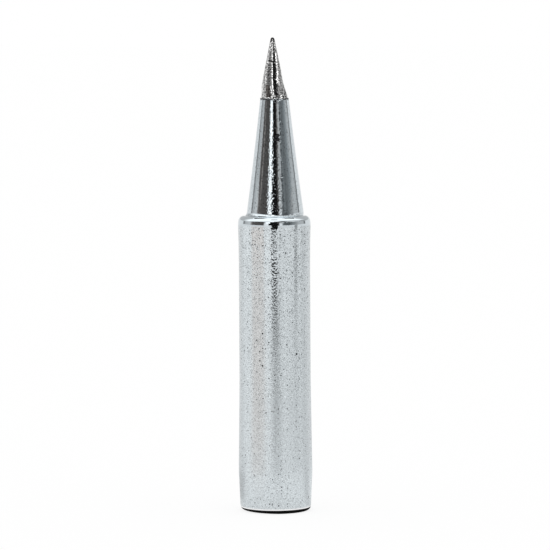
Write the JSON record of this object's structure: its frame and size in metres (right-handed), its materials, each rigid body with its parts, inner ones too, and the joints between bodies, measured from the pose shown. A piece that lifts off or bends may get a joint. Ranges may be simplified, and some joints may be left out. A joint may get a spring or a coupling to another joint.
{
  "type": "soldering iron tip",
  "caption": "Slip-on conical soldering iron tip: a bored, plated shank with a polished cone and a tinned working point.",
  "frame": {"origin": "centre of the rear face of the shank, which the tip stands on", "axes": "+Z along the shank from the rear face to the working point; the working point leans slightly towards -X"},
  "size_m": [0.0066, 0.0066, 0.0427],
  "materials": {
    "plated_copper": "satin"
  },
  "bodies": {
    "root": {"soldering_tip": "plated_copper"}
  },
  "joints": []
}
